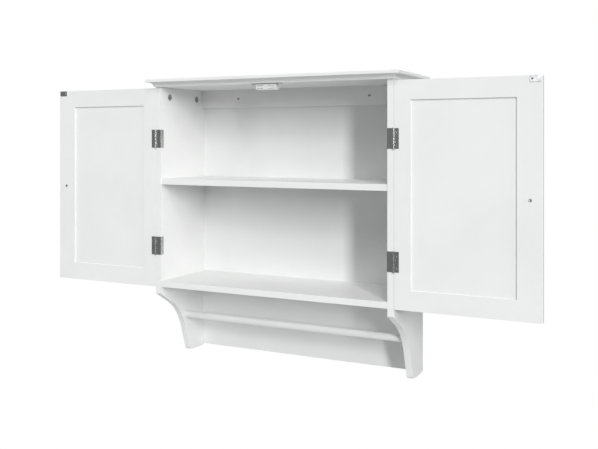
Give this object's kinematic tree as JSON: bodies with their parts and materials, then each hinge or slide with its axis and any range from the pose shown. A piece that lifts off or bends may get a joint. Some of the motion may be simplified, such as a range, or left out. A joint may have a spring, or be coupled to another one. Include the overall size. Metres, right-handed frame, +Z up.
{
  "type": "hanging wall cabinet",
  "caption": "White wall-hung cabinet with framed doors, an inner shelf, a moulded top and shaped brackets that carry a towel bar.",
  "frame": {"origin": "midway between the two wall-screw holes, in the plane of the wall face", "axes": "+Z up, +Y into the wall, the doors and front face -Y, +X to the viewer's right"},
  "size_m": [1.1188, 0.203, 0.6285],
  "materials": {
    "white_painted_board": "satin white paint on 13 mm fibreboard",
    "white_painted_door": "satin white paint on the door frames and panels",
    "white_hardboard": "thin painted panel, slightly flatter sheen",
    "plain_beech": "bare fluted hardwood dowels",
    "fitting_zinc": "die-cast zinc cams and plated bolts",
    "hinge_steel": "satin nickel plated steel hinges",
    "zinc_plated_steel": "zinc plated screws, pins and plates",
    "knob_nickel": "brushed nickel knobs",
    "white_plastic": "moulded white plastic",
    "dark_magnet": "sintered ferrite"
  },
  "bodies": {
    "carcass": {"back_panel": "white_hardboard", "back_panel_pins": "zinc_plated_steel", "bottom_board": "white_painted_board", "bottom_cam_bolts": "fitting_zinc", "bottom_cam_locks": "fitting_zinc", "bottom_dowels": "plain_beech", "catch_housing": "white_plastic", "catch_magnets": "dark_magnet", "catch_plate": "zinc_plated_steel", "catch_pole_plates": "zinc_plated_steel", "catch_screws": "zinc_plated_steel", "hanging_rail": "white_painted_board", "hinge_frame_screws_left": "hinge_steel", "hinge_frame_screws_right": "hinge_steel", "hinge_pins_left": "hinge_steel", "hinge_pins_right": "hinge_steel", "lower_back_board": "white_painted_board", "lower_back_dowels": "plain_beech", "lower_hinge_frame_leaf_left": "hinge_steel", "lower_hinge_frame_leaf_right": "hinge_steel", "middle_shelf": "white_painted_board", "rail_dowels": "plain_beech", "shelf_cam_bolts": "fitting_zinc", "shelf_cam_locks": "fitting_zinc", "shelf_dowels": "plain_beech", "side_panel_left": "white_painted_board", "side_panel_right": "white_painted_board", "top_board": "white_painted_board", "top_cam_bolts": "fitting_zinc", "top_cam_locks": "fitting_zinc", "top_dowels": "plain_beech", "towel_bar": "white_painted_board", "upper_hinge_frame_leaf_left": "hinge_steel", "upper_hinge_frame_leaf_right": "hinge_steel"},
    "left_door": {"door_bottom_rail_left": "white_painted_door", "door_free_stile_left": "white_painted_door", "door_hinge_stile_left": "white_painted_door", "door_panel_left": "white_painted_door", "door_top_rail_left": "white_painted_door", "hinge_door_screws_left": "hinge_steel", "knob_left": "knob_nickel", "knob_screw_left": "zinc_plated_steel", "lower_hinge_door_leaf_left": "hinge_steel", "strike_plate_left": "zinc_plated_steel", "strike_screw_left": "zinc_plated_steel", "upper_hinge_door_leaf_left": "hinge_steel"},
    "right_door": {"door_bottom_rail_right": "white_painted_door", "door_free_stile_right": "white_painted_door", "door_hinge_stile_right": "white_painted_door", "door_panel_right": "white_painted_door", "door_top_rail_right": "white_painted_door", "hinge_door_screws_right": "hinge_steel", "knob_right": "knob_nickel", "knob_screw_right": "zinc_plated_steel", "lower_hinge_door_leaf_right": "hinge_steel", "strike_plate_right": "zinc_plated_steel", "strike_screw_right": "zinc_plated_steel", "upper_hinge_door_leaf_right": "hinge_steel"}
  },
  "joints": [
    {"name": "left_door_hinge", "type": "hinge", "parent": "carcass", "child": "left_door", "pos_m": [-0.2802, -0.1862, -0.203], "axis": [0, 0, 1], "range_deg": [0, 180]},
    {"name": "right_door_hinge", "type": "hinge", "parent": "carcass", "child": "right_door", "pos_m": [0.2802, -0.1862, -0.203], "axis": [0, 0, -1], "range_deg": [0, 180]}
  ]
}
